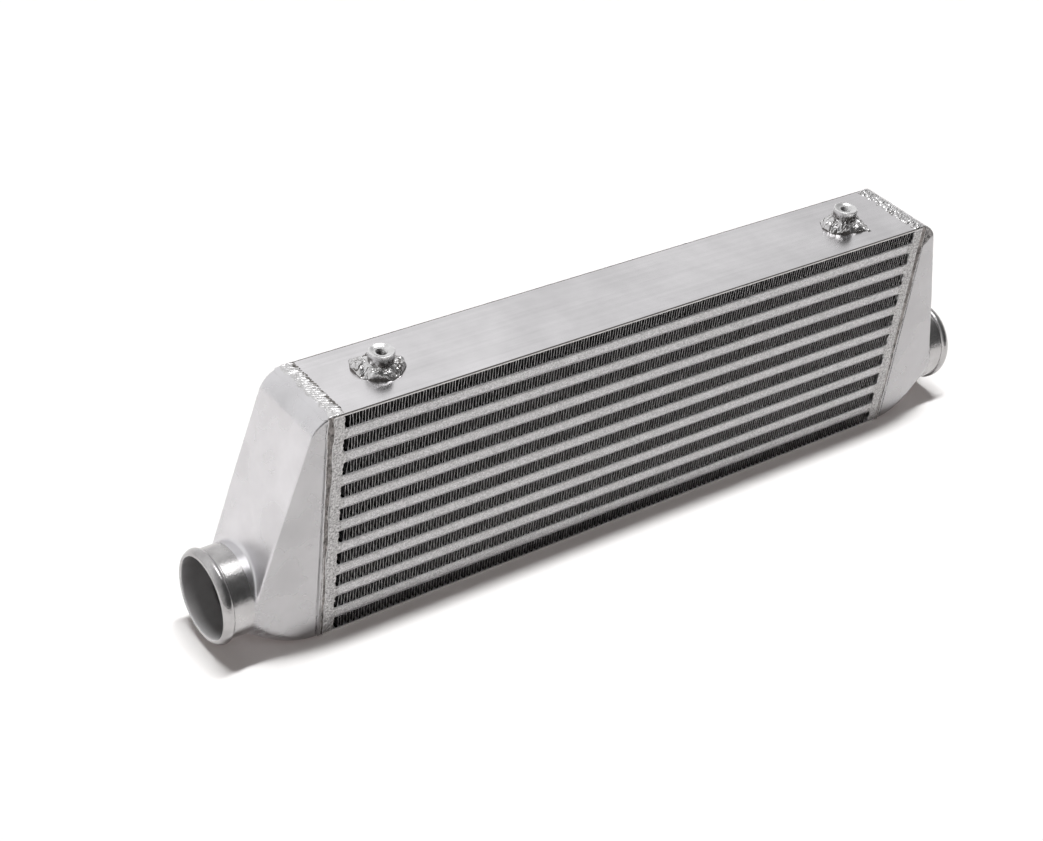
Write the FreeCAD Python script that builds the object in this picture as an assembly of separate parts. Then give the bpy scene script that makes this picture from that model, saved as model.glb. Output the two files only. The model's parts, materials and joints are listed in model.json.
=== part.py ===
import FreeCAD, Part
import math
import os

from FreeCAD import Vector

os.makedirs("parts", exist_ok=True)

# Bar-and-plate charge air cooler with two cast end tanks.
# X runs along the core, Y through its depth, Z up. The origin is under the middle of the core,
# in the plane that the bottom plate stands on. All sizes are in millimetres.

# Core, as a brazed stack
core_depth = 64.0
fin_length = 504.0
ambient_rows = 10
ambient_height = 10.3
charge_height = 7.2
sheet_thickness = 0.5
side_plate_thickness = 1.6
long_bar_depth = 8.0
end_bar_width = 8.0

# Corrugated fins, folded from thin sheet
fin_thickness = 0.3
ambient_fin_spacing = 7.9
ambient_fin_recess = 0.6
charge_fin_spacing = 6.0
charge_fin_setback = 4.0

# Cast end tanks
tank_wall = 3.2
tank_length = 47.0
tank_top_length = 10.0
tank_slope_deg = 16.2
tank_top_rounding = 13.0
tank_edge_rounding = 7.0
tank_bottom_corner = 3.0
tank_inner_corner = 1.0
tank_bottom_flat = 16.0
corner_chords = 8

# Hose spigot, turned on the end of the casting
spigot_height = 39.7
spigot_radius = 31.75
spigot_bore_radius = 28.5
spigot_length = 24.0
collar_step = 0.4
collar_corner_step = 0.25
bead_width = 8.0
bead_rise = 1.3
rim_chamfer = 1.3

# Weld between core and tank
weld_root = 3.0
weld_groove = 0.5
weld_cap_overlap = 9.0
weld_cap_tank_overlap = 1.0
weld_cap_rise = 1.2

# Mounting bosses on the top plate
boss_inset = 46.0
boss_radius = 8.8
boss_height = 14.0
thread_core_radius = 3.4
thread_depth = 11.0
puddle_height = 6.0
puddle_taper = 0.62
left_puddle_radii = (18.0, 16.5, 17.0, 19.0, 19.5, 16.0, 17.5, 18.5)
right_puddle_radii = (20.0, 17.0, 15.5, 18.5, 18.0, 17.5, 15.0, 19.0)

# How far a cut runs past the face that it opens
cut_margin = 1.0

# Sizes that follow from the ones above
charge_rows = ambient_rows - 1
tube_height = charge_height + 2 * sheet_thickness
layer_pitch = ambient_height + tube_height
core_height = 2 * side_plate_thickness + ambient_rows * ambient_height + charge_rows * tube_height
core_end = fin_length / 2 + end_bar_width
tank_start = core_end + weld_root
tank_end = tank_start + tank_length
spigot_end = tank_end + spigot_length
collar_radius = spigot_radius + collar_step
bead_radius = spigot_radius + bead_rise
slope_angle = math.radians(tank_slope_deg)
tank_slope = math.tan(slope_angle)


def block(x_low, x_high, y_low, y_high, z_low, z_high):
    """A rectangular solid between two corners."""
    size = Vector(x_high - x_low, y_high - y_low, z_high - z_low)
    return Part.makeBox(size.x, size.y, size.z, Vector(x_low, y_low, z_low))


def prism(points, along):
    """A polygon through the points, extruded along a vector."""
    return Part.Face(Part.makePolygon(points + points[:1])).extrude(along)


def ruled_solid(sections):
    """A solid through outlines with equal numbers of points and parallel sides, with flat faces."""
    faces = [Part.Face(Part.makePolygon(outline + outline[:1])) for outline in (sections[0], sections[-1])]
    for near, far in zip(sections, sections[1:]):
        for index in range(len(near)):
            quad = [near[index - 1], near[index], far[index], far[index - 1]]
            faces.append(Part.Face(Part.makePolygon(quad + quad[:1])))
    return Part.Solid(Part.Shell(faces))


def mirrored(shape):
    """The same shape at the other end of the core."""
    return shape.mirror(Vector(0, 0, 0), Vector(1, 0, 0))


def save(name, shape):
    shape.exportStep("parts/" + name + ".step")


def ambient_base(row):
    """Height at which an ambient row starts, counted from the bottom."""
    return side_plate_thickness + row * layer_pitch


def folded_strip(length, height, spacing):
    """Corner points of a strip folded in a zigzag, as (along, up), that fills length by height."""
    walls = 2 * round(length / (2 * spacing))
    step = length / walls
    upright = fin_thickness * math.hypot(step, height) / step
    upper = []
    lower = []
    for corner in range(walls + 1):
        along = corner * step
        crest = corner % 2 == 1
        upper.append((along, height if crest else upright))
        lower.append((along, height - upright if crest else 0.0))
    return upper + lower[::-1]


def side_plate(z_low):
    half = core_depth / 2
    return block(-core_end, core_end, -half, half, z_low, z_low + side_plate_thickness)


def charge_tube(z_low):
    """Two parting sheets with a long bar along the front and one along the rear, brazed together."""
    half = core_depth / 2
    inner_half = half - long_bar_depth
    outer = block(-core_end, core_end, -half, half, z_low, z_low + tube_height)
    passage_low = z_low + sheet_thickness
    passage = block(-core_end - cut_margin, core_end + cut_margin, -inner_half, inner_half,
                    passage_low, passage_low + charge_height)
    return outer.cut(passage)


def charge_fin(z_low):
    """The folded strip inside a charge tube, with its folds running along the core."""
    half = core_depth / 2 - long_bar_depth
    start = -core_end + charge_fin_setback
    corners = folded_strip(2 * half, charge_height, charge_fin_spacing)
    points = [Vector(start, along - half, z_low + up) for along, up in corners]
    return prism(points, Vector(-2 * start, 0, 0))


def ambient_fin(z_low):
    """The folded strip of one ambient row, with its folds running front to back."""
    front = -core_depth / 2 + ambient_fin_recess
    corners = folded_strip(fin_length, ambient_height, ambient_fin_spacing)
    points = [Vector(along - fin_length / 2, front, z_low + up) for along, up in corners]
    return prism(points, Vector(0, -2 * front, 0))


def end_bar(z_low):
    half = core_depth / 2
    return block(fin_length / 2, core_end, -half, half, z_low, z_low + ambient_height)


def slope_x(z, inset):
    """Where the sloped outer wall of the tank stands at a height, drawn in by the inset."""
    run = (core_height - z) * tank_slope
    return tank_start + tank_top_length + run - inset / math.cos(slope_angle)


def half_width(x, inset):
    """Half the tank's width, which runs from the core's depth to the collar's diameter."""
    share = (x - tank_start) / tank_length
    return core_depth / 2 + share * (collar_radius - core_depth / 2) - inset


def tank_profile(x_low, x_high, z_low, inset):
    """Side view of the tank above the spigot's axis: level top, rounded shoulder and sloped wall."""
    top = core_height - inset
    corner_x = slope_x(top, inset)
    rounding = tank_top_rounding - inset
    turn = math.pi / 2 - slope_angle
    reach = rounding * math.tan(turn / 2)
    centre = Vector(corner_x - reach, 0, top - rounding)
    before = Vector(corner_x - reach, 0, top)
    after = Vector(corner_x + reach * math.sin(slope_angle), 0, top - reach * math.cos(slope_angle))
    middle = centre + Vector(math.sin(turn / 2), 0, math.cos(turn / 2)) * rounding
    slope_foot = core_height - (x_high - slope_x(core_height, inset)) / tank_slope
    corners = [after, Vector(x_high, 0, slope_foot), Vector(x_high, 0, z_low),
               Vector(x_low, 0, z_low), Vector(x_low, 0, top), before]
    edges = [Part.Arc(before, middle, after).toShape()]
    edges += [Part.makeLine(a, b) for a, b in zip(corners, corners[1:])]
    return Part.Face(Part.Wire(edges))


def upper_tank(x_low, x_high, inset):
    """The part of the tank above the spigot's axis, with sharp edges."""
    profile = tank_profile(x_low, x_high, spigot_height, inset)
    wide = core_depth + 2 * collar_radius
    profile.translate(Vector(0, -wide, 0))
    sheet = profile.extrude(Vector(0, 2 * wide, 0))
    plan = [Vector(x_low, -half_width(x_low, inset), spigot_height),
            Vector(x_high, -half_width(x_high, inset), spigot_height),
            Vector(x_high, half_width(x_high, inset), spigot_height),
            Vector(x_low, half_width(x_low, inset), spigot_height)]
    return sheet.common(prism(plan, Vector(0, 0, core_height)))


def slope_edge_point(z, side):
    """Where the sloped wall would meet a side wall in a sharp edge, at a height."""
    x = slope_x(z, 0)
    return Vector(x, side * half_width(x, 0), z)


def edge_cutter(side):
    """What rounds one side edge of the sloped wall. It runs out by itself in the curved shoulder."""
    foot = slope_edge_point(spigot_height, side)
    head = slope_edge_point(core_height, side)
    along = (head - foot).normalize()
    slope_normal = Vector(math.cos(slope_angle), 0, math.sin(slope_angle))
    side_normal = along.cross(Vector(0, 0, 1)).normalize()
    side_normal = side_normal * math.copysign(1, side_normal.y * side)
    on_slope = (slope_normal * slope_normal.dot(side_normal) - side_normal).normalize()
    on_side = (side_normal * side_normal.dot(slope_normal) - slope_normal).normalize()
    half_turn = on_slope.getAngle(on_side) / 2
    reach = tank_edge_rounding / math.tan(half_turn)
    inwards = (on_slope + on_side).normalize()
    corner = foot - along * tank_edge_rounding
    arc_start = corner + on_slope * reach
    arc_end = corner + on_side * reach
    arc_middle = corner + inwards * (tank_edge_rounding / math.sin(half_turn) - tank_edge_rounding)
    outer_corners = [arc_end, arc_end - on_slope * reach, corner - inwards * reach,
                     arc_start - on_side * reach, arc_start]
    edges = [Part.Arc(arc_start, arc_middle, arc_end).toShape()]
    edges += [Part.makeLine(a, b) for a, b in zip(outer_corners, outer_corners[1:])]
    return Part.Face(Part.Wire(edges)).extrude(head - foot + along * 2 * tank_edge_rounding)


def trough_section(x, share, inset):
    """Outline of the tank below the spigot's axis: square at the core and half round at the collar."""
    width = half_width(x, inset)
    square_corner = max(tank_bottom_corner - inset, tank_inner_corner)
    round_corner = collar_radius - inset - collar_corner_step
    radius = square_corner + share * (round_corner - square_corner)
    centre_z = inset + share * (spigot_height - collar_radius) + radius
    corner = []
    for chord in range(corner_chords + 1):
        turn = math.pi / 2 * chord / corner_chords
        corner.append((width - radius + radius * math.cos(turn), centre_z - radius * math.sin(turn)))
    right = [Vector(x, y, z) for y, z in [(width, spigot_height)] + corner]
    left = [Vector(x, -point.y, point.z) for point in reversed(right)]
    return right + left


def lower_tank(x_low, x_high, inset):
    """The part of the tank below the spigot's axis, from the core's rectangle to the round collar."""
    flat_end = tank_start + tank_bottom_flat
    return ruled_solid([trough_section(x_low, 0, inset), trough_section(flat_end, 0, inset),
                        trough_section(x_high, 1, inset)])


def spigot(start):
    """Turned neck with a raised hose bead behind its rim, still without its bore."""
    bead_start = spigot_end - bead_width
    outline = [(start, 0), (start, spigot_radius), (bead_start, spigot_radius),
               (bead_start + bead_rise, bead_radius), (spigot_end - rim_chamfer, bead_radius),
               (spigot_end, bead_radius - rim_chamfer), (spigot_end, 0)]
    points = [Vector(x, 0, spigot_height + radius) for x, radius in outline]
    face = Part.Face(Part.makePolygon(points + points[:1]))
    return face.revolve(Vector(0, 0, spigot_height), Vector(1, 0, 0), 360)


def end_tank():
    """One casting: header, sloped tank, collar and spigot, open at the core and at the rim."""
    neck_start = tank_start + tank_length / 2
    outer = upper_tank(tank_start, tank_end, 0).cut([edge_cutter(1), edge_cutter(-1)])
    outer = outer.fuse([lower_tank(tank_start, tank_end, 0), spigot(neck_start)]).removeSplitter()
    inner_start = tank_start - cut_margin
    inner_end = tank_end - tank_wall
    inside = upper_tank(inner_start, inner_end, tank_wall)
    inside = inside.fuse(lower_tank(inner_start, inner_end, tank_wall)).removeSplitter()
    bore_axis = Vector(neck_start, 0, spigot_height)
    bore_length = spigot_end + cut_margin - neck_start
    bore = Part.makeCylinder(spigot_bore_radius, bore_length, bore_axis, Vector(1, 0, 0))
    return outer.cut(inside).cut(bore)


def tank_weld():
    """Weld metal round the joint: ground into a shallow groove at the sides, proud on the top."""
    side = core_depth / 2 - weld_groove
    inner = core_depth / 2 - tank_wall
    root = block(core_end, tank_start, -side, side, weld_groove, core_height)
    root = root.cut(block(core_end - cut_margin, tank_start + cut_margin, -inner, inner,
                          tank_wall, core_height - tank_wall))
    cap_low = Vector(core_end - weld_cap_overlap, -side, core_height)
    cap_high = Vector(tank_start + weld_cap_tank_overlap, -side, core_height)
    crown = (cap_low + cap_high) / 2 + Vector(0, 0, weld_cap_rise)
    cap_outline = Part.Wire([Part.Arc(cap_low, crown, cap_high).toShape(), Part.makeLine(cap_high, cap_low)])
    cap = Part.Face(cap_outline).extrude(Vector(0, 2 * side, 0))
    return root.fuse(cap).removeSplitter()


def boss(x):
    """Round boss with a tapped blind hole."""
    body = Part.makeCylinder(boss_radius, boss_height, Vector(x, 0, core_height))
    hole_low = core_height + boss_height - thread_depth
    return body.cut(Part.makeCylinder(thread_core_radius, thread_depth + cut_margin, Vector(x, 0, hole_low)))


def boss_weld(x, radii):
    """Faceted puddle of weld metal that flares from the boss down to the plate."""
    sections = []
    for z, share in ((core_height, 1.0), (core_height + puddle_height, puddle_taper)):
        angles = [2 * math.pi * (corner + 0.5) / len(radii) for corner in range(len(radii))]
        points = [Vector(x + share * radius * math.cos(angle), share * radius * math.sin(angle), z)
                  for radius, angle in zip(radii, angles)]
        sections.append(points)
    return ruled_solid(sections).cut(Part.makeCylinder(boss_radius, boss_height, Vector(x, 0, core_height)))


save("bottom_plate", side_plate(0))
save("top_plate", side_plate(core_height - side_plate_thickness))

for row in range(ambient_rows):
    label = "_%02d" % (row + 1)
    base = ambient_base(row)
    save("ambient_fin" + label, ambient_fin(base))
    save("right_end_bar" + label, end_bar(base))
    save("left_end_bar" + label, mirrored(end_bar(base)))

for row in range(charge_rows):
    label = "_%02d" % (row + 1)
    tube_base = ambient_base(row) + ambient_height
    save("charge_tube" + label, charge_tube(tube_base))
    save("charge_fin" + label, charge_fin(tube_base + sheet_thickness))

save("right_end_tank", end_tank())
save("left_end_tank", mirrored(end_tank()))
save("right_tank_weld", tank_weld())
save("left_tank_weld", mirrored(tank_weld()))

boss_x = fin_length / 2 - boss_inset
save("left_boss", boss(-boss_x))
save("right_boss", boss(boss_x))
save("left_boss_weld", boss_weld(-boss_x, left_puddle_radii))
save("right_boss_weld", boss_weld(boss_x, right_puddle_radii))
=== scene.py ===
import json
import math

import bpy
import numpy as np
from mathutils import Matrix, Vector, noise


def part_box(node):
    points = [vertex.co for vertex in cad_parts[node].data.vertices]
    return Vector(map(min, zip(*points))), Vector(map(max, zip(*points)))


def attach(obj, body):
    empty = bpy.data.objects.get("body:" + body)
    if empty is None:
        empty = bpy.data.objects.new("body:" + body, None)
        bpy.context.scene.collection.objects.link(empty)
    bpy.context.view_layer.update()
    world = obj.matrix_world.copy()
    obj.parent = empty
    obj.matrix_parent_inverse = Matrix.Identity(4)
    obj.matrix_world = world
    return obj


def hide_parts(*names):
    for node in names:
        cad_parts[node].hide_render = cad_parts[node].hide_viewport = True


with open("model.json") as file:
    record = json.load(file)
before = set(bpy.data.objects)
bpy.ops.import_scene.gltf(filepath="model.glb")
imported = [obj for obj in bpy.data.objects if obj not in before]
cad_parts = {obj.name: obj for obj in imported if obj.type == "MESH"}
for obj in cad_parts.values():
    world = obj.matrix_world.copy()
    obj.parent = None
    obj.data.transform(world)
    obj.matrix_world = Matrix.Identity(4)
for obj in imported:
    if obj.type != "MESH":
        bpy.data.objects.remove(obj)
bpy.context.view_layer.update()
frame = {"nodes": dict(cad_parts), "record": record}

mm = 0.001

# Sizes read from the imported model, in metres
mounts = {mount["name"]: mount for mount in frame["record"]["mounts"]}
core_end, core_half_depth, core_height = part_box("top_plate")[1]
fin_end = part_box("ambient_fin_01")[1].x
tank_start, spigot_end = [corner.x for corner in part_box("right_end_tank")]
spigot_height = mounts["right_spigot"]["pos_m"][2]
bead_radius = mounts["right_spigot"]["dims"]["r_mm"] * mm
boss_x = mounts["right_boss_thread"]["pos_m"][0]
thread_radius = mounts["right_boss_thread"]["dims"]["r_mm"] * mm
thread_depth = mounts["right_boss_thread"]["dims"]["length_mm"] * mm
_, boss_radius, boss_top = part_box("right_boss")[1]

# End tank
tank_end = spigot_end - 24 * mm
tank_top_length = 10 * mm
tank_slope = math.radians(16.2)
shoulder_rounding = 13 * mm
tank_wall = 3.2 * mm
top_edge_rounding = 1.3 * mm
foot_edge_rounding = 2.2 * mm
edge_change_depth = 70 * mm
edge_change_length = 45 * mm
start_edge_rounding = 0.9 * mm
bottom_corner = 3 * mm
neck_radius = bead_radius - 1.8 * mm
neck_fillet = 1.8 * mm
ring_top_points = 30
ring_side_points = 56

# Fins
fin_walls = 219
fin_sheet = 0.24 * mm
fin_crest = 1.75 * mm
louvre_pitch = 1.4 * mm
louvre_count = 5
louvre_tilt = math.radians(24)
fold_scatter = 0.09 * mm
fin_lip = 1.3 * mm
fin_end_gap = 2.7 * mm

# Core
bar_station = 2.5 * mm
bar_unevenness = 0.12 * mm
end_bar_ragged = 0.75 * mm
tube_count = 9
streak_share = 0.22

# Welds between the tanks and the core, and the metal smeared beside them
bead_half_width = 7.9 * mm
ripple_pitch = 2.3 * mm
scallop_pitch = 1.9 * mm
weld_depth = 1.6 * mm
groove_depth = 0.95 * mm
skin_step = 0.7 * mm
skin_depth = 0.9 * mm

# Bosses
boss_columns = 96
boss_bevel = 0.7 * mm
thread_pitch = 1.25 * mm
thread_cut = 0.55 * mm

# Weld puddles round the bosses, corner by corner in mm: x and y from the boss,
# then the height at the toe, halfway and at the boss
puddle_columns = 288
puddle_rows = 48
left_puddle = [(19.8, 3.0, 1.0, 2.8, 6.0), (14.0, 13.0, 1.0, 3.4, 6.0), (2.0, 17.0, 1.0, 3.0, 6.0),
               (-13.3, 17.3, 1.0, 3.4, 6.5), (-18.0, 8.2, 1.5, 4.8, 6.5), (-17.6, -4.6, 1.0, 2.2, 6.0),
               (-12.2, -9.5, 1.2, 4.6, 6.8), (-0.2, -15.8, 1.5, 4.6, 6.2), (7.8, -12.9, 1.0, 2.6, 5.5),
               (16.0, -6.2, 1.6, 4.4, 6.0)]
right_puddle = [(20.5, 6.0, 0.6, 1.6, 4.0), (14.0, 14.0, 1.0, 3.0, 6.0), (4.5, 16.1, 1.0, 3.2, 6.0),
                (-13.6, 10.6, 1.0, 3.2, 6.0), (-19.0, 2.3, 1.2, 4.8, 7.0), (-17.8, -8.0, 1.2, 4.8, 7.0),
                (-11.7, -11.1, 1.4, 6.2, 7.6), (-4.1, -13.2, 1.2, 3.2, 6.0), (7.5, -15.6, 0.7, 1.8, 4.5),
                (13.2, -18.4, 0.5, 1.2, 3.5)]

# Dabs of weld on the puddles, in mm: x and y from the boss, radius and height
left_dabs = [(-12, 6, 8, 5.2), (-6, -8, 8, 5.6), (9, -5, 8, 5.2), (4, 11, 8, 5)]
right_dabs = [(-12, 0, 7, 6.0), (-7, -8, 6, 6.6), (4, -10, 6, 4.4), (6, 10, 7, 5)]


def side_name(side):
    return "right" if side > 0 else "left"


def grid_faces(rows, columns, wrap_rows):
    """Quads over a grid of points that are numbered row by row, where each row is a closed ring."""
    r, c = np.meshgrid(np.arange(rows if wrap_rows else rows - 1), np.arange(columns), indexing="ij")
    r2, c2 = (r + 1) % rows, (c + 1) % columns
    return np.stack([r * columns + c, r * columns + c2, r2 * columns + c2, r2 * columns + c], axis=-1).reshape(-1, 4)


def outward(points, faces):
    """The faces, turned to look out of the closed mesh."""
    corner = points[faces]
    volume = sum(np.einsum("ij,ij->i", corner[:, 0], np.cross(corner[:, k], corner[:, k + 1])).sum() for k in (1, 2))
    return faces if volume > 0 else faces[:, ::-1]


def new_object(name, data):
    thing = bpy.data.objects.new(name, data)
    bpy.context.scene.collection.objects.link(thing)
    return thing


def add_piece(name, points, faces, materials, slot, replaces, sharp_deg, material_index=None):
    """A mesh piece of the object, on its body, with its finish and the nodes that it stands for."""
    mesh = bpy.data.meshes.new(name)
    mesh.from_pydata(points.tolist(), [], outward(points, faces).tolist())
    for material in materials:
        mesh.materials.append(material)
    if material_index is not None:
        mesh.polygons.foreach_set("material_index", material_index.astype(np.int32))
    mesh.polygons.foreach_set("use_smooth", np.ones(len(mesh.polygons), bool))
    mesh.update()
    mesh.set_sharp_from_angle(angle=math.radians(sharp_deg))
    piece = new_object(name, mesh)
    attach(piece, "root")
    if replaces:
        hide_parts(*replaces)


def add_rings(name, rings, wrap, *rest):
    """A piece from a grid of points, whose rows are closed rings. With wrap, its last row joins the first."""
    add_piece(name, rings.reshape(-1, 3), grid_faces(*rings.shape[:2], wrap), *rest)


# Materials

class Graph:
    """A node tree, with short ways to add the nodes used here."""

    def __init__(self, tree):
        self.nodes, self.links = tree.nodes, tree.links

    def new(self, kind):
        return self.nodes.new("ShaderNode" + kind)

    def feed(self, socket, value):
        """Link the socket to another one, or set a constant on it."""
        if isinstance(value, bpy.types.NodeSocket):
            self.links.new(value, socket)
        elif socket.type == "RGBA":
            socket.default_value = (*value, 1)
        else:
            socket.default_value = value

    def calculate(self, operation, *values, clamp=False):
        node = self.new("Math")
        node.operation = operation
        node.use_clamp = clamp
        for socket, value in zip(node.inputs, values):
            self.feed(socket, value)
        return node.outputs[0]

    def both(self, first, second):
        """The product of two shares."""
        return self.calculate("MULTIPLY", first, second, clamp=True)

    def remap(self, value, low, high, from_low=0.3, from_high=0.7):
        """The value, moved from its usual range to another one."""
        node = self.new("MapRange")
        for name, level in (("From Min", from_low), ("From Max", from_high), ("To Min", low), ("To Max", high)):
            node.inputs[name].default_value = level
        self.feed(node.inputs["Value"], value)
        return node.outputs["Result"]

    def coordinates(self, *scale):
        """Object coordinates, stretched by a scale for each axis."""
        source = self.new("TexCoord")
        mapping = self.new("Mapping")
        mapping.inputs["Scale"].default_value = scale or (1, 1, 1)
        self.feed(mapping.inputs["Vector"], source.outputs["Object"])
        return mapping.outputs["Vector"]

    def component(self, vector, axis):
        split = self.new("SeparateXYZ")
        self.feed(split.inputs["Vector"], vector)
        return split.outputs[axis]

    def place(self, axis):
        """One of the object coordinates."""
        return self.component(self.new("TexCoord").outputs["Object"], axis)

    def noise(self, vector, scale, detail=3.0, roughness=0.55):
        texture = self.new("TexNoise")
        texture.inputs["Scale"].default_value = scale
        texture.inputs["Detail"].default_value = detail
        texture.inputs["Roughness"].default_value = roughness
        self.feed(texture.inputs["Vector"], vector)
        return texture.outputs["Fac"]

    def blend(self, value, first, second):
        """A colour between two, with the change in the middle of the value's range."""
        ramp = self.new("ValToRGB")
        for stop, position, color in zip(ramp.color_ramp.elements, (0.32, 0.68), (first, second)):
            stop.position = position
            stop.color = (*color, 1)
        self.feed(ramp.inputs["Fac"], value)
        return ramp.outputs["Color"]

    def mix(self, share, first, second, kind="RGBA"):
        """The first colour or value where the share is 0, the second where it is 1."""
        node = self.new("Mix")
        node.data_type = kind
        for name, value in (("Factor", share), ("A", first), ("B", second)):
            self.feed(node.inputs[name], value)
        return node.outputs["Result"]

    def recolour_front_rear(self, color, front_rear_color):
        """The colour, changed to a second one where a face looks to the front or the rear: the ground finish, which
        on the casting is also darkened as painted shade.
        """
        geometry = self.new("NewGeometry")
        facing = self.calculate("ABSOLUTE", self.component(geometry.outputs["True Normal"], "Y"))
        return self.mix(self.remap(facing, 0, 1, 0.55, 0.95), color, front_rear_color)


class Metal(Graph):
    """A metal under construction."""

    def __init__(self, name, metallic=1.0):
        self.material = bpy.data.materials.new(name)
        self.material.use_nodes = True
        super().__init__(self.material.node_tree)
        self.shader = self.nodes["Principled BSDF"]
        self.shader.inputs["Metallic"].default_value = metallic

    def finish(self, color, roughness, heights=()):
        """The material with its finish, and bumps from (height, distance in metres, strength), the broadest first."""
        self.feed(self.shader.inputs["Base Color"], color)
        self.feed(self.shader.inputs["Roughness"], roughness)
        socket = self.shader.inputs["Normal"]
        for height, distance, strength in reversed(heights):
            bump = self.new("Bump")
            bump.inputs["Distance"].default_value = distance
            bump.inputs["Strength"].default_value = strength
            self.feed(bump.inputs["Height"], height)
            self.feed(socket, bump.outputs["Normal"])
            socket = bump.inputs["Normal"]
        return self.material


def corner_scar(metal, wander):
    """1 on the scorched front top corner of the right tank, below its weld, 0 elsewhere."""
    x, y, z = [metal.place(axis) for axis in "XYZ"]
    across = metal.remap(x, 0, 10 * mm, 264 * mm, 276 * mm)
    above = metal.calculate("SUBTRACT", z, across)
    uneven = metal.calculate("MULTIPLY_ADD", wander, 6 * mm, above)
    high = metal.remap(uneven, 0, 1, 163 * mm, 163.6 * mm)
    front = metal.remap(y, 1, 0, -31.0 * mm, -30.2 * mm)
    right = metal.remap(x, 0, 1, 0, 1 * mm)
    return metal.both(metal.both(high, front), right)


def cast_aluminium():
    """Satin polished casting: cloudy polish, faint sanding lines, a broad unevenness and one scorched corner."""
    metal = Metal("cast_aluminium")
    plain = metal.coordinates()
    cloud = metal.noise(plain, 28, 4)
    grain = metal.noise(plain, 1600, 2)
    lines = metal.noise(metal.coordinates(1, 1, 14), 160)
    broad = metal.noise(plain, 18, 2)
    crumpled = metal.noise(plain, 330, 4, 0.6)
    scar = corner_scar(metal, crumpled)
    polished = metal.blend(cloud, (0.60, 0.59, 0.605), (0.72, 0.71, 0.728))
    # The front and rear faces are darker partly for their ground finish and partly as painted shade.
    ground = metal.blend(cloud, (0.42, 0.413, 0.42), (0.50, 0.493, 0.501))
    scorched = metal.blend(crumpled, (0.015, 0.014, 0.014), (0.40, 0.385, 0.38))
    color = metal.mix(scar, metal.recolour_front_rear(polished, ground), scorched)
    bumps = [(broad, 1.0 * mm, 0.35), (metal.both(crumpled, scar), 2.5 * mm, 0.9),
             (lines, 0.02 * mm, 0.3), (grain, 0.02 * mm, 0.3)]
    return metal.finish(color, metal.remap(cloud, 0.20, 0.36), bumps)


def turned_aluminium():
    """Turned neck: finer polish, with rings round the spigot's axis."""
    metal = Metal("turned_aluminium")
    plain = metal.coordinates()
    ring = metal.noise(metal.coordinates(900, 6, 6), 1.0)
    cloud = metal.noise(plain, 55, 4)
    grain = metal.noise(plain, 430, 4, 0.6)
    color = metal.blend(cloud, (0.38, 0.37, 0.37), (0.55, 0.54, 0.54))
    return metal.finish(color, metal.remap(cloud, 0.15, 0.30), [(ring, 0.03 * mm, 0.3), (grain, 0.22 * mm, 0.6)])


def bore_aluminium():
    """Inside of the casting: unpolished and dull, with a painted highlight low down at its mouth, where it is paler
    and matt.
    """
    metal = Metal("bore_aluminium")
    plain = metal.coordinates()
    cloud = metal.noise(plain, 40)
    reach = metal.calculate("ABSOLUTE", metal.place("X"))
    near = metal.remap(reach, 0, 1, spigot_end - 10 * mm, spigot_end - 1 * mm)
    low = metal.remap(metal.place("Z"), 1, 0, spigot_height - 22 * mm, spigot_height - 8 * mm)
    mouth_highlight = metal.both(near, low)
    dull = metal.blend(cloud, (0.50, 0.49, 0.49), (0.64, 0.63, 0.635))
    # The pale colour low down at the mouth is a painted highlight, standing for light that the turned grooves throw
    # back from the opening.
    color = metal.mix(mouth_highlight, dull, (0.95, 0.94, 0.945))
    grain = metal.noise(plain, 700, 4)
    return metal.finish(color, metal.remap(mouth_highlight, 0.44, 0.78, 0, 1), [(grain, 0.05 * mm, 0.4)])


def plate_aluminium(name, edge_low, edge_high, shade_line_level, edge_roughness):
    """Polished rolled plate, blotchy with faint streaks along the core, and sawn edges with a painted shade line
    along their top.
    """
    metal = Metal(name)
    plain = metal.coordinates()
    streak = metal.noise(metal.coordinates(4, 150, 150), 2.0, 4)
    cloud = metal.noise(plain, 14, 4, 0.6)
    broad = metal.noise(plain, 9, 2)
    grain = metal.noise(plain, 900)
    blotch = metal.mix(streak_share, cloud, streak, "FLOAT")
    polished = metal.blend(blotch, (0.59, 0.578, 0.59), (0.785, 0.77, 0.785))
    clean = metal.recolour_front_rear(polished, metal.blend(grain, edge_low, edge_high))
    side = metal.calculate("ABSOLUTE", metal.place("Y"))
    outer = metal.remap(side, 0, 1, core_half_depth - 0.75 * mm, core_half_depth - 0.6 * mm)
    upper = metal.remap(metal.place("Z"), 0, 1, shade_line_level - 0.05 * mm, shade_line_level + 0.05 * mm)
    # A dark line painted along the top of the front and rear edges stands for shade at the plate's arris.
    color = metal.mix(metal.both(outer, upper), clean, (0.11, 0.103, 0.1))
    return metal.finish(color, metal.remap(cloud, 0.15 + edge_roughness, 0.27 + edge_roughness),
                        [(broad, 0.8 * mm, 0.2), (streak, 0.008 * mm, 0.25), (grain, 0.012 * mm, 0.3)])


def bar_aluminium(name, dark, light, speckle_scale):
    """Ground bar ends and sheet edges: speckled and matt."""
    metal = Metal(name)
    plain = metal.coordinates()
    speckle = metal.noise(plain, speckle_scale, 4, 0.75)
    cloud = metal.noise(plain, 120)
    return metal.finish(metal.blend(speckle, dark, light), metal.remap(cloud, 0.36, 0.5),
                        [(cloud, 0.1 * mm, 0.4), (speckle, 0.06 * mm, 0.6)])


def fin_aluminium(name, scale, detail, dark, light, smooth, rough):
    """Fin sheet: near-black colours on its faces, which paint the shade in the gaps between the fins, and brighter
    ones on its cut edges.
    """
    metal = Metal(name)
    cloud = metal.noise(metal.coordinates(), scale, detail)
    return metal.finish(metal.blend(cloud, dark, light), metal.remap(cloud, smooth, rough))


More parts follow.
